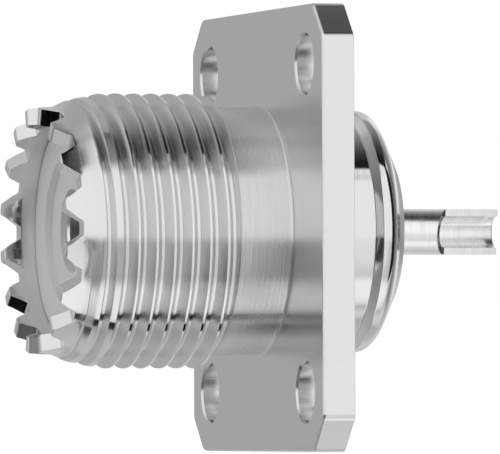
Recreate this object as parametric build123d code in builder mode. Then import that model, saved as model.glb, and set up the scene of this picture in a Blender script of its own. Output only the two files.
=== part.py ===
from build123d import *
import os
from math import cos, pi, radians, tan

os.makedirs("parts", exist_ok=True)

# Frame: the connector's axis lies along X and its mating mouth faces -X.
# X = 0 is the rear face of the square flange, which seats on the panel, and +Z is up.

# Flange
flange_size = 25.4
flange_thickness = 1.9
corner_clip = 1.9
corner_round = 0.25
flange_edge_break = 0.2
hole_spacing = 18.6
hole_diameter = 3.4
hole_edge_break = 0.12
holes_per_row = 2

# Barrel in front of the flange
barrel_length = 13.4
pilot_drop = 0.8
pilot_length = 1.25
lead_in_angle = 26
lead_in_height = 0.4
second_lead_in_angle = 12
neck_drop = 0.75
neck_length = 3.1
neck_fillet = 0.2

# Thread, 5/8-24 UNEF, with its outside diameter between the limits of a class 2A fit
inch = 25.4
threads_per_inch = 24
thread_diameter = 15.8
thread_angle = 60
thread_end_chamfer = 0.3
# Place of the groove's first turn behind the tips, where it runs out into the pilot
groove_start = 1.16

# Teeth round the mouth
tooth_count = 16
tooth_height = 1.02
tooth_tip_width = 0.55
tooth_gap_floor = 0.8
tooth_break = 0.1
rim_edge_break = 0.1

# Bores of the shell
mouth_diameter = 12.3
mouth_depth = 1.85
front_bore_length = 12.1
rear_bore_diameter = 10.8

# Hub and rolled collar behind the flange
hub_diameter = 13.0
hub_length = 3.25
collar_diameter = 14.0
collar_shoulder = 0.35
collar_land = 0.75
collar_bend = 0.7
lip_angle = 28
lip_wall = 0.8
lip_opening = 8.6
lip_rounding = 0.3

# Insulators
insulator_clearance = 0.02
insulator_edge_break = 0.15
recess_diameter = 8.3
recess_depth = 0.46
rear_insulator_setback = 0.5

# Centre contact
socket_bore = 4.0
socket_bore_depth = 9.8
socket_wall = 0.35
socket_clearance = 0.05
socket_setback = 0.35
socket_mouth_chamfer = 0.12
slot_width = 0.5
slot_length = 6.2
slots_across = 2
slot_turn = 45
contact_collar_diameter = 6.8
contact_collar_length = 1.2
contact_collar_clearance = 0.03
stem_diameter = 2.65
stem_clearance = 0.02

# Solder cup at the rear end of the contact
cup_end = 12.77
cup_bore = 1.82
cup_bore_depth = 4.6
cup_cut_length = 3.2
cup_cut_run = 0.9
cup_turn = 8

# Places along the axis
flange_front = -flange_thickness
tooth_tips = flange_front - barrel_length
pilot_end = tooth_tips + pilot_length
neck_start = flange_front - neck_length
bore_step = tooth_tips + front_bore_length
insulator_face = tooth_tips + mouth_depth
recess_floor = insulator_face + recess_depth
socket_front = recess_floor + socket_setback
collar_start = hub_length + collar_shoulder
collar_corner = collar_start + collar_land
thread_end = neck_start - thread_end_chamfer

# Turned-down diameters of the barrel, and the two cones that lead in to the thread
pilot_diameter = thread_diameter - 2 * pilot_drop
neck_diameter = thread_diameter - 2 * neck_drop
second_slope = tan(radians(second_lead_in_angle))
lead_in_middle = pilot_end + lead_in_height / tan(radians(lead_in_angle))
lead_in_end = lead_in_middle + (pilot_drop - lead_in_height) / second_slope

# Thread form: a vee whose crest flat is an eighth of the pitch and its root flat a quarter
thread_pitch = inch / threads_per_inch
root_flat = thread_pitch / 4
crest_flat = thread_pitch / 8
flank_slope = tan(radians(thread_angle / 2))
thread_depth = (thread_pitch - root_flat - crest_flat) / 2 / flank_slope
root_radius = thread_diameter / 2 - thread_depth

# Rolled lip: the collar's wall bent over the rear insulator at the lip's angle
lip_slope = tan(radians(lip_angle))
lip_end = collar_corner + (collar_diameter - lip_opening) / 2 * lip_slope
lip_seat = (
    collar_corner
    + (collar_diameter - rear_bore_diameter) / 2 * lip_slope
    - lip_wall / cos(radians(lip_angle))
)
lip_inner_end = lip_seat + (rear_bore_diameter - lip_opening) / 2 * lip_slope

# Contact
socket_diameter = socket_bore + 2 * socket_wall
socket_bore_end = socket_front + socket_bore_depth
contact_collar_end = bore_step + contact_collar_length
cup_bore_start = cup_end - cup_bore_depth
cup_cut_start = cup_end - cup_cut_length - cup_cut_run
rear_insulator_end = lip_inner_end - rear_insulator_setback

# How far a cutting shape reaches past the surface that it cuts
overcut = 0.5
groove_overcut = 0.05


def half_section(*stations):
    """Corners of a turned profile, from pairs of a place along the axis and a diameter."""
    return [(place, diameter / 2) for place, diameter in stations]


def turned_edges(part, place, diameter):
    """Round edges of a turned part at a place along the axis and a diameter."""
    nearby = 0.01
    edges = part.edges().filter_by(GeomType.CIRCLE)
    edges = edges.filter_by(lambda edge: abs(edge.arc_center.X - place) < nearby)
    return edges.filter_by(lambda edge: abs(edge.radius - diameter / 2) < nearby)


# Cutting shape for one gap between two teeth, with radial flanks
tooth_pitch = pi * pilot_diameter / tooth_count
with BuildPart() as tooth_gap:
    for radius in (mouth_diameter / 2 - overcut, pilot_diameter / 2 + overcut):
        spread = radius / (pilot_diameter / 2)
        floor_corner = tooth_gap_floor / 2 * spread
        tip_corner = (tooth_pitch - tooth_tip_width) / 2 * spread
        tip_end = tip_corner + tooth_break
        break_run = (tip_corner - floor_corner) * tooth_break / tooth_height
        with BuildSketch(Plane(origin=(tooth_tips, 0, radius), x_dir=(0, 1, 0), z_dir=(0, 0, 1))):
            with BuildLine():
                Polyline(
                    (-tip_end, 0),
                    (-tip_end, overcut),
                    (tip_end, overcut),
                    (tip_end, 0),
                    (tip_corner - break_run, -tooth_break),
                    (floor_corner + break_run, tooth_break - tooth_height),
                    (floor_corner - tooth_break, -tooth_height),
                    (tooth_break - floor_corner, -tooth_height),
                    (-floor_corner - break_run, tooth_break - tooth_height),
                    (break_run - tip_corner, -tooth_break),
                    close=True,
                )
            make_face()
    loft(ruled=True)


# Thread groove, a vee swept along a right-handed helix
groove_centre = Vector(tooth_tips + groove_start, 0, 0)
with BuildPart() as thread_groove:
    with BuildLine() as helix:
        Helix(thread_pitch, neck_start - groove_centre.X + thread_pitch / 2, root_radius,
              center=groove_centre, direction=(1, 0, 0))
    with BuildSketch(Plane(origin=helix.line @ 0, x_dir=(1, 0, 0), z_dir=(0, -1, 0))):
        with BuildLine():
            groove_height = thread_depth + groove_overcut
            half_floor = root_flat / 2
            half_mouth = half_floor + groove_height * flank_slope
            Polyline(
                (-half_floor, 0),
                (half_floor, 0),
                (half_mouth, groove_height),
                (-half_mouth, groove_height),
                close=True,
            )
        make_face()
    sweep(path=helix.line, is_frenet=True)

# Shell: rim, thread, neck, flange, hub and rolled collar in one piece
with BuildPart() as shell:
    with BuildSketch(Plane.XZ):
        with BuildLine():
            Polyline(
                *half_section(
                    (tooth_tips, mouth_diameter),
                    (tooth_tips, thread_diameter),
                    (flange_front, thread_diameter),
                    (0, hub_diameter),
                    (hub_length, hub_diameter),
                    (collar_start, collar_diameter),
                    (collar_corner, collar_diameter),
                    (lip_end, lip_opening),
                    (lip_inner_end, lip_opening),
                    (lip_seat, rear_bore_diameter),
                    (bore_step, rear_bore_diameter),
                    (bore_step, mouth_diameter),
                ),
                close=True,
            )
        make_face()
    revolve(axis=Axis.X)
    add(thread_groove.part, mode=Mode.SUBTRACT)

    # Rim, pilot and lead-in are turned down from the thread's outside, and so is the neck
    with BuildSketch(Plane.XZ):
        with BuildLine():
            Polyline(
                *half_section(
                    (tooth_tips - overcut, pilot_diameter - 2 * rim_edge_break),
                    (tooth_tips, pilot_diameter - 2 * rim_edge_break),
                    (tooth_tips + rim_edge_break, pilot_diameter),
                    (pilot_end, pilot_diameter),
                    (lead_in_middle, pilot_diameter + 2 * lead_in_height),
                    (lead_in_end + groove_overcut / second_slope, thread_diameter + 2 * groove_overcut),
                    (tooth_tips - overcut, thread_diameter + 2 * groove_overcut),
                ),
                close=True,
            )
        make_face()
        with BuildLine():
            Polyline(
                *half_section(
                    (thread_end, thread_diameter),
                    (neck_start, neck_diameter),
                    (flange_front, neck_diameter),
                    (flange_front, thread_diameter + 2 * overcut),
                    (thread_end, thread_diameter + 2 * overcut),
                ),
                close=True,
            )
        make_face()
    revolve(axis=Axis.X, mode=Mode.SUBTRACT)

    # Bend of the collar, and the round on both edges of its lip
    fillet(turned_edges(shell.part, collar_corner, collar_diameter), collar_bend)
    fillet(turned_edges(shell.part, lip_end, lip_opening), lip_rounding)

    # Gaps between the teeth, one of them facing each of +Z, -Z, +Y and -Y
    for step in range(tooth_count):
        add(tooth_gap.part, rotation=(step * 360 / tooth_count, 0, 0), mode=Mode.SUBTRACT)

    # Flange, with its corners clipped and all its outer edges softened
    with BuildSketch(Plane.YZ.offset(flange_front)):
        square = Rectangle(flange_size, flange_size)
        chamfer(square.vertices(), corner_clip)
        Circle(rear_bore_diameter / 2, mode=Mode.SUBTRACT)
    extrude(amount=flange_thickness)
    corners = shell.edges().filter_by(Axis.X)
    corners = corners.filter_by(lambda edge: max(abs(edge.center().Y), abs(edge.center().Z)) > thread_diameter / 2)
    fillet(corners, corner_round)
    for place in (flange_front, 0):
        face = shell.faces().filter_by(Axis.X).filter_by_position(Axis.X, place, place).sort_by(SortBy.AREA)[-1]
        fillet(face.outer_wire().edges(), flange_edge_break)

    # Fillet where the neck meets the flange
    fillet(turned_edges(shell.part, flange_front, neck_diameter), neck_fillet)

    # Mounting holes, softened at both mouths
    with BuildSketch(Plane.YZ.offset(flange_front)):
        with GridLocations(hole_spacing, hole_spacing, holes_per_row, holes_per_row):
            Circle(hole_diameter / 2)
    extrude(amount=flange_thickness, mode=Mode.SUBTRACT)
    hole_edges = turned_edges(shell.part, flange_front, hole_diameter)
    hole_edges += turned_edges(shell.part, 0, hole_diameter)
    chamfer(hole_edges, hole_edge_break)

# Front insulator: fills the mouth from its recessed face down to the step in the bore
with BuildPart() as front_insulator:
    with BuildSketch(Plane.XZ):
        with BuildLine():
            Polyline(
                *half_section(
                    (recess_floor, socket_diameter + 2 * socket_clearance),
                    (recess_floor, recess_diameter),
                    (insulator_face, recess_diameter),
                    (insulator_face, mouth_diameter - 2 * insulator_clearance),
                    (bore_step, mouth_diameter - 2 * insulator_clearance),
                    (bore_step, socket_diameter + 2 * socket_clearance),
                ),
                close=True,
            )
        make_face()
    revolve(axis=Axis.X)
    rims = turned_edges(front_insulator.part, insulator_face, mouth_diameter - 2 * insulator_clearance)
    chamfer(rims, insulator_edge_break)

# Rear insulator: held between the bore step's contact collar and the rolled lip
with BuildPart() as rear_insulator:
    rear_diameter = rear_bore_diameter - 2 * insulator_clearance
    stem_hole = stem_diameter + 2 * stem_clearance
    with BuildSketch(Plane.XZ):
        with BuildLine():
            Polyline(
                *half_section(
                    (bore_step, contact_collar_diameter + 2 * contact_collar_clearance),
                    (bore_step, rear_diameter),
                    (lip_seat, rear_diameter),
                    (rear_insulator_end, rear_diameter - 2 * (rear_insulator_end - lip_seat) / lip_slope),
                    (rear_insulator_end, stem_hole),
                    (contact_collar_end, stem_hole),
                    (contact_collar_end, contact_collar_diameter + 2 * contact_collar_clearance),
                ),
                close=True,
            )
        make_face()
    revolve(axis=Axis.X)

# Centre contact: slotted socket, collar, stem and solder cup
with BuildPart() as centre_contact:
    with BuildSketch(Plane.XZ):
        with BuildLine():
            Polyline(
                *half_section(
                    (socket_front, socket_bore + 2 * socket_mouth_chamfer),
                    (socket_front, socket_diameter),
                    (bore_step, socket_diameter),
                    (bore_step, contact_collar_diameter),
                    (contact_collar_end, contact_collar_diameter),
                    (contact_collar_end, stem_diameter),
                    (cup_end, stem_diameter),
                    (cup_end, 0),
                    (socket_bore_end, 0),
                    (socket_bore_end, socket_bore),
                    (socket_front + socket_mouth_chamfer, socket_bore),
                ),
                close=True,
            )
        make_face()
    revolve(axis=Axis.X)

    # Slots that let the socket's fingers spring
    with BuildSketch(Plane.YZ.offset(socket_front)):
        for turn in range(slots_across):
            Rectangle(socket_diameter + overcut, slot_width, rotation=slot_turn + turn * 90)
    extrude(amount=slot_length, mode=Mode.SUBTRACT)

    # Bore of the solder cup
    with BuildSketch(Plane.YZ.offset(cup_bore_start)):
        Circle(cup_bore / 2)
    extrude(amount=cup_bore_depth, mode=Mode.SUBTRACT)

    # Opening that cuts half of the cup away, turned a little down from -Y
    cup_side = Plane(origin=(0, 0, 0), x_dir=(1, 0, 0), z_dir=(0, 0, 1)).rotated((cup_turn, 0, 0))
    with BuildSketch(cup_side):
        with BuildLine():
            Polyline(
                (cup_cut_start, -stem_diameter / 2),
                (cup_cut_start + cup_cut_run, 0),
                (cup_end + overcut, 0),
                (cup_end + overcut, -stem_diameter / 2 - overcut),
                (cup_cut_start, -stem_diameter / 2 - overcut),
                close=True,
            )
        make_face()
    extrude(amount=stem_diameter, both=True, mode=Mode.SUBTRACT)

shell.part.label = "shell"
export_step(shell.part, "parts/shell.step")
front_insulator.part.label = "front_insulator"
export_step(front_insulator.part, "parts/front_insulator.step")
rear_insulator.part.label = "rear_insulator"
export_step(rear_insulator.part, "parts/rear_insulator.step")
centre_contact.part.label = "centre_contact"
export_step(centre_contact.part, "parts/centre_contact.step")
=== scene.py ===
import math
import bpy
from mathutils import Matrix, Vector


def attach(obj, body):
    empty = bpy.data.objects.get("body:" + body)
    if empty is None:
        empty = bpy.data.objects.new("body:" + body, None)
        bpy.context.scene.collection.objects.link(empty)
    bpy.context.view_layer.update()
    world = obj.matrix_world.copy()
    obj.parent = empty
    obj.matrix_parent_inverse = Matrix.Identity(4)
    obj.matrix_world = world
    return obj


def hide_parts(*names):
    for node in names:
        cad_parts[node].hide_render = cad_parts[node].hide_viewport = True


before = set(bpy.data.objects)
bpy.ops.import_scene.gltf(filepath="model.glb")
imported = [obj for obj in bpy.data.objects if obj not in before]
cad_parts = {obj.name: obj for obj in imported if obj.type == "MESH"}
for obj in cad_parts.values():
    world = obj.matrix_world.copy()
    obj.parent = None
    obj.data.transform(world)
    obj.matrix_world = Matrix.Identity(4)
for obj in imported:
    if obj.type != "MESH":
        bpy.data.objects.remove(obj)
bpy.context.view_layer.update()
print("frame loaded:", ", ".join(sorted(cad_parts)))

# Pieces are modelled in millimetres about the connector's axis (X, mouth toward -X),
# and each one is brought to metres when it is finished.
perMetre = 1000    # millimetres in a metre
turnSteps = 128    # steps in a full turn, round the barrel and along the thread
mergeGap = 0.0005  # points nearer than this become one
origin = (0, 0, 0)
axis = (1, 0, 0)


def startFresh():
    if bpy.context.mode != "OBJECT":
        bpy.ops.object.mode_set(mode="OBJECT")
    bpy.ops.object.select_all(action="DESELECT")


def pick(piece):
    startFresh()
    piece.select_set(True)
    bpy.context.view_layer.objects.active = piece


def editAll():
    bpy.ops.object.mode_set(mode="EDIT")
    bpy.ops.mesh.select_all(action="SELECT")


def softened(corners, segments=5):
    # corners of a drawn line as (x, r, rounding); each rounded one becomes a short arc
    points = []
    count = len(corners)
    for i, (x, r, rounding) in enumerate(corners):
        here = Vector((x, r))
        if rounding == 0:
            points.append(here)
            continue
        before = Vector(corners[i - 1][:2]) - here
        after = Vector(corners[(i + 1) % count][:2]) - here
        halfAngle = before.angle(after) / 2
        before.normalize()
        after.normalize()
        reach = rounding / math.tan(halfAngle)
        centre = here + (before + after).normalized() * (rounding / math.sin(halfAngle))
        first = (here + before * reach - centre).normalized()
        last = (here + after * reach - centre).normalized()
        for k in range(segments + 1):
            points.append(centre + first.slerp(last, k / segments) * rounding)
    return points


def drawLoop(name, points, closed=True):
    # one vertex, extruded from point to point in the XZ plane
    startFresh()
    bpy.ops.mesh.primitive_plane_add(size=1, location=origin)
    piece = bpy.context.object
    piece.name = name
    bpy.ops.object.mode_set(mode="EDIT")
    bpy.ops.mesh.select_mode(type="VERT")
    bpy.ops.mesh.select_all(action="SELECT")
    bpy.ops.mesh.merge(type="CENTER")
    here = Vector((points[0][0], 0, points[0][1]))
    bpy.ops.transform.translate(value=here)
    for point in points[1:]:
        there = Vector((point[0], 0, point[1]))
        bpy.ops.mesh.extrude_vertices_move(TRANSFORM_OT_translate={"value": there - here})
        here = there
    if closed:
        bpy.ops.mesh.select_all(action="DESELECT")
        bpy.ops.object.mode_set(mode="OBJECT")
        ends = [Vector((p[0], 0, p[1])) for p in (points[0], points[-1])]
        for vertex in piece.data.vertices:
            vertex.select = min((vertex.co - end).length for end in ends) < mergeGap
        bpy.ops.object.mode_set(mode="EDIT")
        bpy.ops.mesh.edge_face_add()
    bpy.ops.mesh.select_all(action="SELECT")
    return piece


def closeUp():
    bpy.ops.mesh.select_all(action="SELECT")
    bpy.ops.mesh.remove_doubles(threshold=mergeGap)
    bpy.ops.mesh.normals_make_consistent(inside=False)
    bpy.ops.object.mode_set(mode="OBJECT")


def turned(name, points):
    piece = drawLoop(name, points)
    bpy.ops.mesh.spin(steps=turnSteps, angle=math.tau, center=origin, axis=axis)
    closeUp()
    return piece


def combine(piece, tool, operation):
    pick(piece)
    modifier = piece.modifiers.new(operation.lower(), "BOOLEAN")
    modifier.operation = operation
    modifier.solver = "EXACT"
    modifier.object = tool
    bpy.ops.object.modifier_apply(modifier=modifier.name)
    bpy.data.objects.remove(tool)
    editAll()
    bpy.ops.mesh.remove_doubles(threshold=mergeGap)
    bpy.ops.mesh.dissolve_degenerate(threshold=mergeGap)
    bpy.ops.object.mode_set(mode="OBJECT")


def finishPiece(piece, material):
    smoothAngle = math.radians(30)
    pick(piece)
    bpy.ops.object.shade_smooth_by_angle(angle=smoothAngle, keep_sharp_edges=False)
    modifier = piece.modifiers.new("evenNormals", "WEIGHTED_NORMAL")
    modifier.keep_sharp = True
    bpy.ops.object.modifier_apply(modifier=modifier.name)
    bpy.ops.transform.resize(value=(1 / perMetre,) * 3, center_override=origin)
    bpy.ops.object.transform_apply(location=True, rotation=True, scale=True)
    piece.data.materials.clear()
    piece.data.materials.append(material)


# Materials

noiseRange = {"From Min": 0.3, "From Max": 0.7}  # where nearly all of a noise lies


def fromHex(code):
    # sRGB hex to linear
    values = [int(code[i:i + 2], 16) / 255 for i in (1, 3, 5)]
    linear = [v / 12.92 if v <= 0.04045 else ((v + 0.055) / 1.055) ** 2.4 for v in values]
    return (*linear, 1)


def newMaterial(name):
    material = bpy.data.materials.new(name)
    material.use_nodes = True
    return material, material.node_tree, material.node_tree.nodes["Principled BSDF"]


def wire(tree, node, inputs):
    # each input gets a link or a plain value
    for key, value in inputs.items():
        if isinstance(value, bpy.types.NodeSocket):
            tree.links.new(value, node.inputs[key])
        else:
            node.inputs[key].default_value = value


def addNode(tree, kind, settings=None, inputs=None, stops=()):
    # stops are a ramp's (place, colour), where a plain number stands for a grey
    node = tree.nodes.new(kind)
    for key, value in (settings or {}).items():
        setattr(node, key, value)
    wire(tree, node, inputs or {})
    if stops:
        elements = node.color_ramp.elements
        while len(elements) < len(stops):
            elements.new(0.5)
        for element, (place, tone) in zip(elements, stops):
            element.position = place
            element.color = fromHex(tone) if isinstance(tone, str) else (tone, tone, tone, 1)
    return node


def grainAlong(tree, stretch):
    # noise drawn out in one direction; stretch is its grain's size in mm along X, Y and Z
    place = addNode(tree, "ShaderNodeTexCoord").outputs["Object"]
    scale = tuple(perMetre / size for size in stretch)
    mapped = addNode(tree, "ShaderNodeVectorMath", {"operation": "MULTIPLY"}, {0: place, 1: scale})
    noise = addNode(tree, "ShaderNodeTexNoise", inputs={"Vector": mapped.outputs[0], "Scale": 1.0})
    return noise.outputs["Fac"]


def zones(tree, stops):
    # a value that changes along the connector's axis; stops are (mm, value)
    first, last = stops[0][0], stops[-1][0]
    place = addNode(tree, "ShaderNodeTexCoord").outputs["Object"]
    along = addNode(tree, "ShaderNodeSeparateXYZ", inputs={0: place}).outputs["X"]
    share = addNode(tree, "ShaderNodeMapRange", inputs={
        "Value": along, "From Min": first / perMetre, "From Max": last / perMetre,
    }).outputs["Result"]
    shares = [((x - first) / (last - first), value) for x, value in stops]
    return addNode(tree, "ShaderNodeValToRGB", inputs={"Fac": share}, stops=shares).outputs["Color"]


def beyond(tree, edge):
    # 1 outside this distance from the axis (mm), 0 inside
    place = addNode(tree, "ShaderNodeTexCoord").outputs["Object"]
    across = {0: place, 1: (0, 1, 1)}
    flat = addNode(tree, "ShaderNodeVectorMath", {"operation": "MULTIPLY"}, across).outputs[0]
    reach = addNode(tree, "ShaderNodeVectorMath", {"operation": "LENGTH"}, {0: flat})
    return addNode(tree, "ShaderNodeMath", {"operation": "GREATER_THAN"}, {
        0: reach.outputs["Value"], 1: edge / perMetre,
    }).outputs[0]


def aroundAxis(tree):
    # the direction of the turning marks
    place = addNode(tree, "ShaderNodeTexCoord").outputs["Object"]
    cross = {"operation": "CROSS_PRODUCT"}
    return addNode(tree, "ShaderNodeVectorMath", cross, {0: axis, 1: place}).outputs[0]


def brightNickel():
    # bright nickel plate on turned brass: a hard grey mirror with fine turning rings, which draw
    # its reflections out along the barrel. The thread and the neck came duller off the cutter
    # than the hub and the thread's crests, and the flange's face was rubbed in fine lines.
    # Sizes and places are in millimetres.
    look = {
        "colour": "#e4e4e3", "uneven": 0.05,
        "rings": (0.05, 4.0, 4.0), "lines": (4.0, 4.0, 0.06), "depth": 0.012, "bump": 0.02,
        "rough": [
            (-15.4, 0.07), (-14.35, 0.07), (-14.2, 0.18), (-13.3, 0.2), (-13.2, 0.18),
            (-5.3, 0.18), (-5.0, 0.3), (-1.9, 0.3), (-1.85, 0.06), (4.6, 0.06), (5.0, 0.42),
            (6.0, 0.42),
        ],
        "drawnOut": [
            (-15.4, 0.0), (-14.35, 0.0), (-14.2, 1.0), (-1.9, 1.0), (-1.85, 0.4), (4.6, 0.4),
            (5.1, 1.0), (6.0, 1.0),
        ],
        "drawnTurn": 0.25,  # a quarter turn: reflections are drawn out across the marks
        "crestFrom": 7.87, "crestRough": 0.1, "flangeFrom": 8.2, "flangeRough": 0.2,
    }
    material, tree, shader = newMaterial("brightNickelPlate")
    crest = beyond(tree, look["crestFrom"])
    flange = beyond(tree, look["flangeFrom"])
    number = {"data_type": "FLOAT"}
    grain = addNode(tree, "ShaderNodeMix", number, {
        0: flange, 2: grainAlong(tree, look["rings"]), 3: grainAlong(tree, look["lines"]),
    }).outputs[0]
    barrelRough = addNode(tree, "ShaderNodeMix", number, {
        0: crest, 2: zones(tree, look["rough"]), 3: look["crestRough"],
    }).outputs[0]
    evenRough = addNode(tree, "ShaderNodeMix", number, {
        0: flange, 2: barrelRough, 3: look["flangeRough"],
    }).outputs[0]
    change = addNode(tree, "ShaderNodeMapRange", inputs={
        "Value": grain, **noiseRange, "To Min": -look["uneven"], "To Max": look["uneven"],
    }).outputs["Result"]
    rough = addNode(tree, "ShaderNodeMath", {"operation": "ADD"}, {0: evenRough, 1: change})
    drawnOut = addNode(tree, "ShaderNodeMix", number, {
        0: flange, 2: zones(tree, look["drawnOut"]), 3: 0.0,
    })
    bump = addNode(tree, "ShaderNodeBump", inputs={
        "Height": grain, "Distance": look["bump"] / perMetre, "Strength": look["depth"],
    })
    wire(tree, shader, {
        "Base Color": fromHex(look["colour"]), "Metallic": 1.0, "Roughness": rough.outputs[0],
        "Anisotropic": drawnOut.outputs[0], "Anisotropic Rotation": look["drawnTurn"],
        "Tangent": aroundAxis(tree), "Normal": bump.outputs["Normal"],
    })
    return material


def whitePtfe():
    # turned PTFE: soft white, slightly waxy, with the tool's faint rings on its faces. The real
    # rings are too fine to show, so they are drawn coarser. Sizes are in millimetres.
    look = {
        "colour": "#dededb", "shade": "#d8d8d5", "smooth": 0.42, "dull": 0.6,
        "ringPitch": 0.44, "waver": 0.4, "grain": (0.25, 0.25, 0.25),
        "milky": 0.15, "milkyDepth": 0.4,
    }
    waveRate = 20  # radians that a wave of scale 1 runs through in a metre
    material, tree, shader = newMaterial("turnedPtfe")
    wave = addNode(tree, "ShaderNodeTexWave", {"wave_type": "RINGS", "rings_direction": "X"}, {
        "Vector": addNode(tree, "ShaderNodeTexCoord").outputs["Object"],
        "Scale": math.tau * perMetre / look["ringPitch"] / waveRate, "Distortion": look["waver"],
    }).outputs["Fac"]
    grain = grainAlong(tree, look["grain"])
    both = addNode(tree, "ShaderNodeMath", {"operation": "MULTIPLY"}, {0: wave, 1: grain})
    tone = addNode(tree, "ShaderNodeValToRGB", inputs={"Fac": both.outputs[0]}, stops=[
        (0.0, look["shade"]), (0.5, look["colour"]),
    ])
    rough = addNode(tree, "ShaderNodeMapRange", inputs={
        "Value": grain, **noiseRange, "To Min": look["smooth"], "To Max": look["dull"],
    })
    wire(tree, shader, {
        "Base Color": tone.outputs["Color"], "Roughness": rough.outputs["Result"],
        "Subsurface Weight": look["milky"], "Subsurface Scale": look["milkyDepth"] / perMetre,
    })
    return material


def silverPlate():
    # satin silver plate on turned brass: the whitest of metals, with soft reflections, turning
    # rings and faint spots. Sizes are in millimetres.
    look = {
        "colour": "#fafaf9", "shade": "#f3f3f2", "smooth": 0.18, "dull": 0.3,
        "rings": (0.07, 3.0, 3.0), "spots": (0.8, 0.8, 0.8),
    }
    material, tree, shader = newMaterial("silverPlate")
    rings = grainAlong(tree, look["rings"])
    spots = grainAlong(tree, look["spots"])
    tone = addNode(tree, "ShaderNodeValToRGB", inputs={"Fac": spots}, stops=[
        (0.35, look["shade"]), (0.65, look["colour"]),
    ])
    rough = addNode(tree, "ShaderNodeMapRange", inputs={
        "Value": rings, **noiseRange, "To Min": look["smooth"], "To Max": look["dull"],
    })
    wire(tree, shader, {
        "Base Color": tone.outputs["Color"], "Metallic": 1.0, "Roughness": rough.outputs["Result"],
    })
    return material


nickel = brightNickel()
ptfe = whitePtfe()
silver = silverPlate()
print("materials made")

# Shell: the turned barrel and hub, the thread, the teeth and the flange. Its measures are
# places along X, radii from the axis and roundings.

shellSize = {
    "tips": -15.3, "pilotEnd": -14.05, "leadInMiddle": -13.23, "leadInEnd": -11.348,
    "threadEnd": -5.3, "neckStart": -5.0, "flangeFront": -1.9,
    "pilot": 7.1, "leadIn": 7.5, "thread": 7.9, "neck": 7.15, "mouth": 6.15,
    "hub": 6.5, "hubEnd": 3.25, "collarStart": 3.6, "collar": 7.0, "collarCorner": 4.35,
    "lipEnd": 5.7856, "lipInnerEnd": 4.8796, "lipSeat": 4.2947, "lipOpening": 4.3,
    "rearBore": 5.4, "boreStep": -3.2,
    "rimInside": 0.06, "rimOutside": 0.1, "coneRound": 0.5, "threadEdge": 0.05,
    "neckEdge": 0.1, "neckFillet": 0.2, "hubEdge": 0.1, "collarEdge": 0.08, "bend": 0.7,
    "lipRound": 0.3, "lipEdge": 0.05,
}


def turnedBarrel():
    s = shellSize
    sink = 0.01  # the neck's fillet ends this far under the flange's face
    into = 0.9   # and its foot reaches this far into the flange
    foot = s["neck"] + s["neckFillet"] + sink
    corners = [
        (s["tips"], s["mouth"], s["rimInside"]),
        (s["tips"], s["pilot"], s["rimOutside"]),
        (s["pilotEnd"], s["pilot"], 0.0),
        (s["leadInMiddle"], s["leadIn"], s["coneRound"]),
        (s["leadInEnd"], s["thread"], s["coneRound"]),
        (s["threadEnd"], s["thread"], s["threadEdge"]),
        (s["neckStart"], s["neck"], s["neckEdge"]),
        (s["flangeFront"] + sink, s["neck"], s["neckFillet"]),
        (s["flangeFront"] + sink, foot, 0.0),
        (s["flangeFront"] + into, foot, 0.0),
        (s["flangeFront"] + into, s["hub"], 0.0),
        (s["hubEnd"], s["hub"], s["hubEdge"]),
        (s["collarStart"], s["collar"], s["collarEdge"]),
        (s["collarCorner"], s["collar"], s["bend"]),
        (s["lipEnd"], s["lipOpening"], s["lipRound"]),
        (s["lipInnerEnd"], s["lipOpening"], s["lipEdge"]),
        (s["lipSeat"], s["rearBore"], 0.0),
        (s["boreStep"], s["rearBore"], 0.0),
        (s["boreStep"], s["mouth"], 0.0),
    ]
    return turned("shellBody", softened(corners))


threadSize = {
    "pitch": 25.4 / 24, "start": -14.14, "turns": 10, "root": 7.24, "rootFlat": 0.164,
    "flank": 30, "overcut": 0.05,
}


def cutThread(body):
    t = threadSize
    height = shellSize["thread"] - t["root"] + t["overcut"]
    half = t["rootFlat"] / 2
    mouth = half + height * math.tan(math.radians(t["flank"]))
    points = [
        (t["start"] - half, t["root"]), (t["start"] + half, t["root"]),
        (t["start"] + mouth, t["root"] + height), (t["start"] - mouth, t["root"] + height),
    ]
    groove = drawLoop("threadGroove", points)
    bpy.ops.object.mode_set(mode="OBJECT")
    screw = groove.modifiers.new("helix", "SCREW")
    screw.axis = "X"
    screw.screw_offset = t["pitch"]
    screw.iterations = t["turns"]
    screw.steps = turnSteps
    screw.render_steps = turnSteps
    screw.use_merge_vertices = False
    bpy.ops.object.modifier_apply(modifier=screw.name)
    editAll()
    bpy.ops.mesh.remove_doubles(threshold=mergeGap)
    bpy.ops.mesh.fill_holes(sides=len(points))
    closeUp()
    combine(body, groove, "DIFFERENCE")


toothSize = {
    "count": 16, "height": 1.02, "tipWidth": 0.55, "gapFloor": 0.8,
    "tipRound": 0.2, "floorRound": 0.13, "roundSteps": 4, "inside": 5.55, "outside": 7.7,
}


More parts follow.
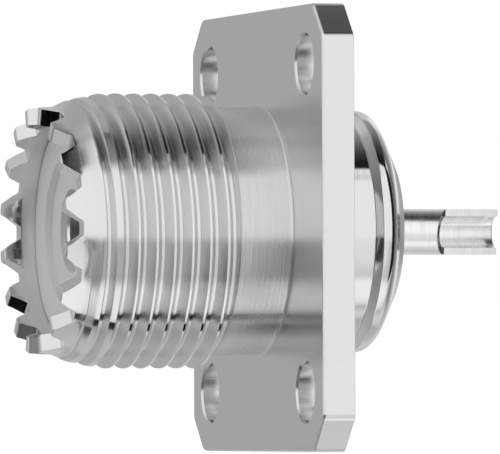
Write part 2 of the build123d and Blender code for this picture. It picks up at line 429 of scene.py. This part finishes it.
def cutTeeth(body):
    # one gap on the camera's side, drawn at the inner radius and spread outward about the axis
    t = toothSize
    s = shellSize
    pitch = math.tau * s["pilot"] / t["count"]
    above = 0.004  # the rounded tips meet the cutter's flat this far in front of the rim
    wide = 0.2     # the flat runs this far over each tip
    clear = 0.6    # and the cutter stands out this far in front of them
    inward = t["inside"] / s["pilot"]
    floor = t["gapFloor"] / 2 * inward
    tip = (pitch - t["tipWidth"]) / 2 * inward
    profile = [
        (-above, -tip - wide, 0.0), (-above, -tip, t["tipRound"]),
        (t["height"], -floor, t["floorRound"]), (t["height"], floor, t["floorRound"]),
        (-above, tip, t["tipRound"]), (-above, tip + wide, 0.0),
        (-clear, tip + wide, 0.0), (-clear, -tip - wide, 0.0),
    ]
    points = [(s["tips"] + x, z) for x, z in softened(profile, t["roundSteps"])]
    gaps = drawLoop("toothGaps", points)
    bpy.ops.mesh.edge_face_add()
    bpy.ops.transform.translate(value=(0, -t["inside"], 0))
    bpy.ops.mesh.extrude_region_move(TRANSFORM_OT_translate={"value": origin})
    outward = t["outside"] / t["inside"]
    bpy.ops.transform.resize(value=(1, outward, outward), center_override=origin)
    bpy.ops.mesh.select_all(action="SELECT")
    copies = t["count"] - 1
    sweep = math.tau / t["count"] * copies
    bpy.ops.mesh.spin(steps=copies, angle=sweep, center=origin, axis=axis, dupli=True)
    closeUp()
    combine(body, gaps, "DIFFERENCE")


flangeSize = {
    "side": 25.4, "clip": 1.9, "cornerRound": 0.25, "cornerSteps": 4,
    "frontEdge": 0.2, "frontSteps": 4, "rearEdge": 0.05, "rearSteps": 2,
    "holeSpacing": 18.6, "hole": 1.7, "holeEdge": 0.12, "holeSteps": 64,
    "centreHole": 6.0, "centreEdge": 0.0001,  # this one's edge lies inside the barrel's wall
}


def flangePlate():
    f = flangeSize
    front = shellSize["flangeFront"]
    near = 0.01  # edges this close to a face belong to it
    startFresh()
    bpy.ops.mesh.primitive_cube_add(
        size=1, location=(front / 2, 0, 0), scale=(-front, f["side"], f["side"]))
    plate = bpy.context.object
    plate.name = "flangePlate"
    bpy.ops.object.transform_apply(location=True, rotation=True, scale=True)

    def alongAxis(a, b):
        return abs(a.x - b.x) > -front / 2

    def inFront(a, b):
        return max(a.x, b.x) < front + near

    def behind(a, b):
        return min(a.x, b.x) > -near

    def bevelWhere(test, offset, segments):
        bpy.ops.object.mode_set(mode="EDIT")
        bpy.ops.mesh.select_mode(type="EDGE")
        bpy.ops.mesh.select_all(action="DESELECT")
        bpy.ops.object.mode_set(mode="OBJECT")
        for edge in plate.data.edges:
            a, b = (plate.data.vertices[i].co for i in edge.vertices)
            edge.select = test(a, b)
        bpy.ops.object.mode_set(mode="EDIT")
        bpy.ops.mesh.bevel(
            offset_type="OFFSET", offset=offset, segments=segments, affect="EDGES")
        bpy.ops.object.mode_set(mode="OBJECT")

    bevelWhere(alongAxis, f["clip"], 1)
    bevelWhere(alongAxis, f["cornerRound"], f["cornerSteps"])
    bevelWhere(inFront, f["frontEdge"], f["frontSteps"])
    bevelWhere(behind, f["rearEdge"], f["rearSteps"])
    return plate


def holeCutter(name, radius, y, z, flare):
    out = 0.5  # the cutter stands out this far on both sides
    front = shellSize["flangeFront"]
    points = [
        (front - out, 0.0), (front - out, radius + flare + out), (front + flare, radius),
        (-flare, radius), (out, radius + flare + out), (out, 0.0),
    ]
    cutter = drawLoop(name, points, closed=False)
    bpy.ops.mesh.spin(steps=flangeSize["holeSteps"], angle=math.tau, center=origin, axis=axis)
    bpy.ops.mesh.select_all(action="SELECT")
    bpy.ops.mesh.remove_doubles(threshold=mergeGap)
    bpy.ops.transform.translate(value=(0, y, z))
    bpy.ops.mesh.normals_make_consistent(inside=False)
    bpy.ops.object.mode_set(mode="OBJECT")
    return cutter


body = turnedBarrel()
print("barrel turned:", len(body.data.polygons), "faces")
cutThread(body)
print("thread cut:", len(body.data.polygons), "faces")
cutTeeth(body)
print("teeth cut:", len(body.data.polygons), "faces")
plate = flangePlate()
f = flangeSize
combine(plate, holeCutter("centreHole", f["centreHole"], 0, 0, f["centreEdge"]), "DIFFERENCE")
half = f["holeSpacing"] / 2
for y, z in ((half, half), (-half, half), (half, -half), (-half, -half)):
    combine(plate, holeCutter("screwHole", f["hole"], y, z, f["holeEdge"]), "DIFFERENCE")
combine(body, plate, "UNION")
finishPiece(body, nickel)
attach(body, "root")
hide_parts("shell")
print("shell done:", len(body.data.polygons), "faces")

# Front insulator: the white disc and sleeve in the mouth

insulatorSize = {
    "face": -13.45, "outer": 6.13, "recess": 4.15, "recessFloor": -12.99, "hole": 2.4,
    "end": -3.2, "edge": 0.05, "rimRound": 0.15,
}
n = insulatorSize
frontInsulator = turned("frontInsulator", softened([
    (n["recessFloor"], n["hole"], n["edge"]), (n["recessFloor"], n["recess"], 0.0),
    (n["face"], n["recess"], n["edge"]), (n["face"], n["outer"], n["rimRound"]),
    (n["end"], n["outer"], 0.0), (n["end"], n["hole"], 0.0),
]))
finishPiece(frontInsulator, ptfe)
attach(frontInsulator, "root")
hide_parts("front_insulator")
print("front insulator done:", len(frontInsulator.data.polygons), "faces")

# Centre contact: the slotted socket, its collar, the stem and the solder cup

contactSize = {
    "front": -12.64, "outer": 2.35, "bore": 2.0, "mouthBreak": 0.12, "boreEnd": -2.84,
    "collar": 3.4, "collarStart": -3.2, "collarEnd": -2.0, "stem": 1.325, "end": 12.77,
    "slot": 0.5, "slotLength": 6.2, "slotTurn": 45, "cup": 0.91, "cupStart": 8.17,
    "cutStart": 8.67, "cutRun": 0.9, "cupTurn": 8, "edge": 0.06,
}


def turnedContact():
    c = contactSize
    return turned("centreContact", softened([
        (c["front"], c["bore"] + c["mouthBreak"], 0.0), (c["front"], c["outer"], c["edge"]),
        (c["collarStart"], c["outer"], 0.0), (c["collarStart"], c["collar"], 0.0),
        (c["collarEnd"], c["collar"], 0.0), (c["collarEnd"], c["stem"], 0.0),
        (c["end"], c["stem"], c["edge"]), (c["end"], c["cup"], c["edge"]),
        (c["cupStart"], c["cup"], 0.0), (c["cupStart"], 0.0, 0.0),
        (c["boreEnd"], 0.0, 0.0), (c["boreEnd"], c["bore"], 0.0),
        (c["front"] + c["mouthBreak"], c["bore"], 0.0),
    ]))


def cutSlots(contact):
    c = contactSize
    past = 1    # the cutter stands out this far in front of the socket
    across = 8  # and is wider than it
    middle = c["front"] + (c["slotLength"] - past) / 2
    for turn in (c["slotTurn"], c["slotTurn"] + 90):
        startFresh()
        bpy.ops.mesh.primitive_cube_add(
            size=1, location=(middle, 0, 0), scale=(c["slotLength"] + past, across, c["slot"]))
        slotTool = bpy.context.object
        bpy.ops.object.transform_apply(location=True, rotation=True, scale=True)
        editAll()
        bpy.ops.transform.rotate(
            value=math.radians(turn), orient_axis="X", center_override=origin)
        bpy.ops.object.mode_set(mode="OBJECT")
        combine(contact, slotTool, "DIFFERENCE")


def openCup(contact):
    c = contactSize
    out = 0.5   # the cutter reaches this far past the stem and its end
    back = 0.3  # and this far behind the start of the cut
    aside = 3   # half of its width
    cupTool = drawLoop("cupOpening", [
        (c["cutStart"], -c["stem"]), (c["cutStart"] + c["cutRun"], 0.0),
        (c["end"] + out, 0.0), (c["end"] + out, -c["stem"] - out),
        (c["cutStart"] - back, -c["stem"] - out),
    ])
    bpy.ops.mesh.edge_face_add()
    bpy.ops.transform.translate(value=(0, -aside, 0))
    bpy.ops.mesh.extrude_region_move(TRANSFORM_OT_translate={"value": (0, 2 * aside, 0)})
    bpy.ops.mesh.select_all(action="SELECT")
    bpy.ops.mesh.normals_make_consistent(inside=False)
    # the loop was drawn below the axis (-Z); the opening faces -Y, turned a little down
    bpy.ops.transform.rotate(
        value=math.radians(90 - c["cupTurn"]), orient_axis="X", center_override=origin)
    bpy.ops.object.mode_set(mode="OBJECT")
    combine(contact, cupTool, "DIFFERENCE")


contact = turnedContact()
cutSlots(contact)
openCup(contact)
finishPiece(contact, silver)
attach(contact, "root")
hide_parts("centre_contact")
print("contact done:", len(contact.data.polygons), "faces")

# Rear insulator: hidden in the hub, so its mesh stays and only takes the material

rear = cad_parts["rear_insulator"]
rear.data.materials.clear()
rear.data.materials.append(ptfe)
print("rear insulator done")

# Camera: the photograph's view; lengths in metres, lens and sensor in millimetres

shot = {
    "azimuth": -17.154, "elevation": -1.257, "roll": -0.194, "distance": 0.49963,
    "target": (-0.002276, 0.0, 0.000252), "lens": 623.33, "sensor": 36.0, "nearClip": 0.01,
}
azimuth = math.radians(shot["azimuth"])
elevation = math.radians(shot["elevation"])
away = Vector((
    math.sin(azimuth) * math.cos(elevation),
    -math.cos(azimuth) * math.cos(elevation),
    math.sin(elevation),
))
cameraData = bpy.data.cameras.new("photoCamera")
cameraData.lens = shot["lens"]
cameraData.sensor_width = shot["sensor"]
cameraData.sensor_fit = "HORIZONTAL"
cameraData.clip_start = shot["nearClip"]
camera = bpy.data.objects.new("photoCamera", cameraData)
bpy.context.collection.objects.link(camera)
camera.location = Vector(shot["target"]) + away * shot["distance"]
roll = Matrix.Rotation(math.radians(shot["roll"]), 3, "Z")
camera.rotation_euler = ((-away).to_track_quat("-Z", "Y").to_matrix() @ roll).to_euler()
bpy.context.scene.camera = camera
print("camera placed")

# Studio: each list is how bright the surroundings are at one height, by compass angle in degrees.
# 0 is the camera's side, angles grow toward the solder cup, and the mouth looks toward -90.
# overheadFrom is the height in degrees at which the overhead tones begin.

studio = {
    "strength": 1.29,
    "overhead": [
        (-180, "#a2a2a2"), (-120, "#a5a5a5"), (-95, "#858585"), (-60, "#626262"),
        (0, "#555555"), (20, "#464646"), (34, "#1a1a1a"), (52, "#1c1c1c"), (66, "#303030"),
        (90, "#424242"), (112, "#585858"), (124, "#666666"), (145, "#828282"),
        (160, "#a0a0a0"), (180, "#a2a2a2"),
    ],
    "overheadFrom": [
        (-180, 70), (-100, 70), (-75, 74), (-60, 75), (-38, 70), (-25, 59), (0, 54), (12, 50),
        (28, 51), (36, 62), (40, 60), (50, 48), (100, 58), (125, 52), (145, 46), (156, 42),
        (170, 50), (180, 64),
    ],
    "level": [
        (-180, "#9a9a9a"), (-150, "#a2a2a2"), (-127, "#bebebe"), (-105, "#d2d2d2"),
        (-80, "#dedede"), (-30, "#e4e4e4"), (66, "#e4e4e4"), (80, "#6a6a6a"),
        (90, "#646464"), (105, "#8a8a8a"), (120, "#9e9e9e"), (133, "#b4b4b4"),
        (139, "#d8d8d8"), (149, "#d8d8d8"), (156, "#c0c0c0"), (170, "#a6a6a6"),
        (180, "#9a9a9a"),
    ],
    "below": [
        (-180, "#a0a0a0"), (-140, "#a5a5a5"), (-120, "#969696"), (-100, "#737373"),
        (-78, "#707070"), (-72, "#080808"), (-50, "#080808"), (-46, "#707070"),
        (-42, "#a8a8a8"), (-29, "#cccccc"), (-25, "#3c3c3c"), (-14, "#3c3c3c"),
        (-4, "#d2d2d2"), (14, "#dadada"), (20, "#dadada"), (26, "#bababa"),
        (66, "#b4b4b4"), (83, "#646464"), (98, "#8e8e8e"), (113, "#a5a5a5"),
        (128, "#b4b4b4"), (143, "#c3c3c3"), (158, "#bebebe"), (180, "#a0a0a0"),
    ],
    "underneath": [
        (-180, "#b9b9b9"), (-150, "#b2b2b2"), (-141, "#a4a4a4"), (-137, "#080808"),
        (-114, "#080808"), (-110, "#a0a0a0"), (-97, "#a8a8a8"), (-75, "#b4b4b4"),
        (-52, "#e2e2e2"), (-30, "#e9e9e9"), (45, "#eaeaea"), (60, "#d7d7d7"),
        (72, "#b0b0b0"), (97, "#cdcdcd"), (115, "#c3c3c3"), (128, "#aaaaaa"),
        (150, "#afafaf"), (180, "#b9b9b9"),
    ],
    "underneathAt": (-52, -40), "belowAt": (-12, -4), "overheadEdge": 3,
    "slantAt": (42, 60), "slant": 6,
}


def buildStudio():
    st = studio
    zenith = 90
    world = bpy.data.worlds.new("studio")
    bpy.context.scene.world = world
    world.use_nodes = True
    tree = world.node_tree
    tree.nodes.clear()

    def byAngle(stops):
        return [((angle + 180) / 360, tone) for angle, tone in stops]

    toward = addNode(tree, "ShaderNodeTexCoord").outputs["Generated"]
    parts = addNode(tree, "ShaderNodeSeparateXYZ", inputs={0: toward}).outputs
    near = addNode(tree, "ShaderNodeMath", {"operation": "MULTIPLY"}, {0: parts["Y"], 1: -1.0})
    compass = addNode(tree, "ShaderNodeMath", {"operation": "ARCTAN2"}, {
        0: parts["X"], 1: near.outputs[0],
    })
    around = addNode(tree, "ShaderNodeMapRange", inputs={
        "Value": compass.outputs[0], "From Min": -math.pi, "From Max": math.pi,
    }).outputs["Result"]
    rise = addNode(tree, "ShaderNodeMath", {"operation": "ARCSINE"}, {0: parts["Z"]})
    height = addNode(tree, "ShaderNodeMath", {"operation": "MULTIPLY"}, {
        0: rise.outputs[0], 1: math.degrees(1),
    }).outputs[0]
    # between the two heights of slantAt, the level tones turn by slant degrees
    lean = addNode(tree, "ShaderNodeMapRange", inputs={
        "Value": height, "From Min": st["slantAt"][0], "From Max": st["slantAt"][1],
        "To Max": st["slant"] / 360,
    })
    leaned = addNode(tree, "ShaderNodeMath", {"operation": "SUBTRACT"}, {
        0: around, 1: lean.outputs["Result"],
    }).outputs[0]
    # how far above the lower edge of the overhead tones, in degrees
    edges = byAngle([(angle, top / zenith) for angle, top in st["overheadFrom"]])
    edgeShare = addNode(tree, "ShaderNodeValToRGB", inputs={"Fac": around}, stops=edges)
    edge = addNode(tree, "ShaderNodeMath", {"operation": "MULTIPLY"}, {
        0: edgeShare.outputs["Color"], 1: float(zenith),
    })
    above = addNode(tree, "ShaderNodeMath", {"operation": "SUBTRACT"}, {
        0: height, 1: edge.outputs[0],
    }).outputs[0]

    # from the ground up, each list takes over from the one under it
    tone = addNode(tree, "ShaderNodeValToRGB", inputs={"Fac": around},
                   stops=byAngle(st["underneath"])).outputs["Color"]
    for name, turn, place, (low, high) in (
        ("below", around, height, st["underneathAt"]),
        ("level", leaned, height, st["belowAt"]),
        ("overhead", around, above, (-st["overheadEdge"], st["overheadEdge"])),
    ):
        share = addNode(tree, "ShaderNodeMapRange", {"interpolation_type": "SMOOTHSTEP"}, {
            "Value": place, "From Min": low, "From Max": high,
        })
        upper = addNode(tree, "ShaderNodeValToRGB", inputs={"Fac": turn}, stops=byAngle(st[name]))
        tone = addNode(tree, "ShaderNodeMix", {"data_type": "RGBA"}, {
            0: share.outputs["Result"], 6: tone, 7: upper.outputs["Color"],
        }).outputs[2]
    lit = addNode(tree, "ShaderNodeBackground", inputs={"Color": tone, "Strength": st["strength"]})
    white = addNode(tree, "ShaderNodeBackground", inputs={"Color": (1, 1, 1, 1), "Strength": 1.0})
    seen = addNode(tree, "ShaderNodeLightPath").outputs["Is Camera Ray"]
    both = addNode(tree, "ShaderNodeMixShader", inputs={
        0: seen, 1: lit.outputs[0], 2: white.outputs[0],
    })
    addNode(tree, "ShaderNodeOutputWorld", inputs={"Surface": both.outputs[0]})


bpy.context.scene.view_settings.view_transform = "Standard"
buildStudio()
print("studio built")

# Floor: white paper, whose own shade shows only where the part keeps the light off it.
# Lengths in metres.

floorLook = {"level": -0.01275, "side": 3.0, "colour": "#e8e8e8", "glow": 0.64}
startFresh()
bpy.ops.mesh.primitive_plane_add(size=floorLook["side"], location=(0, 0, floorLook["level"]))
floor = bpy.context.object
floor.name = "paperFloor"
paper = bpy.data.materials.new("whitePaper")
paper.use_nodes = True
paperTree = paper.node_tree
paperTree.nodes.clear()
matt = addNode(paperTree, "ShaderNodeBsdfDiffuse", inputs={"Color": fromHex(floorLook["colour"])})
cameraRay = addNode(paperTree, "ShaderNodeLightPath").outputs["Is Camera Ray"]
glow = addNode(paperTree, "ShaderNodeMath", {"operation": "MULTIPLY"}, {
    0: cameraRay, 1: floorLook["glow"],
})
shine = addNode(paperTree, "ShaderNodeEmission", inputs={
    "Color": (1, 1, 1, 1), "Strength": glow.outputs[0],
})
paperMix = addNode(paperTree, "ShaderNodeAddShader", inputs={
    0: matt.outputs[0], 1: shine.outputs[0],
})
addNode(paperTree, "ShaderNodeOutputMaterial", inputs={"Surface": paperMix.outputs[0]})
floor.data.materials.append(paper)
floor.visible_glossy = False

# Dark things beside the part, which only its metal sees: a card to the right of the camera, and a
# painted shadow on the floor. The painted shadow is a black strip that stands in for the part's own
# shade on the paper, seen only in the metal's reflections. The card is black felt and the strip
# plain black: both take in nearly all light and have no shine.

darkThings = {
    "card": {"middle": (69.9, -35.0, 17.5), "size": (80.2, 115.0), "tilt": 90, "tone": "#0a0a0a"},
    # painted shadow: this black strip stands in for the part's own shade on the floor, and only the
    # metal sees it
    "paintedShadowStrip": {"middle": (-9.25, -5.6, -12.6), "size": (13.5, 1.5), "tilt": 0, "tone": "#060606"},
}
for name, thing in darkThings.items():
    startFresh()
    place = tuple(v / perMetre for v in thing["middle"])
    bpy.ops.mesh.primitive_plane_add(size=1 / perMetre, location=place)
    prop = bpy.context.object
    prop.name = name + "Dark"
    bpy.ops.transform.resize(value=(*thing["size"], 1), center_override=place)
    bpy.ops.transform.rotate(
        value=math.radians(thing["tilt"]), orient_axis="X", center_override=place)
    bpy.ops.object.transform_apply(location=True, rotation=True, scale=True)
    # the card's black is its own colour; the strip's black is painted shadow
    darkMaterial, darkTree, darkShader = newMaterial(name + "Black")
    wire(darkTree, darkShader, {"Base Color": fromHex(thing["tone"]), "Roughness": 1.0})
    prop.data.materials.append(darkMaterial)
    prop.visible_camera = False
    prop.visible_diffuse = False
    prop.visible_shadow = False
print("floor and dark things laid")
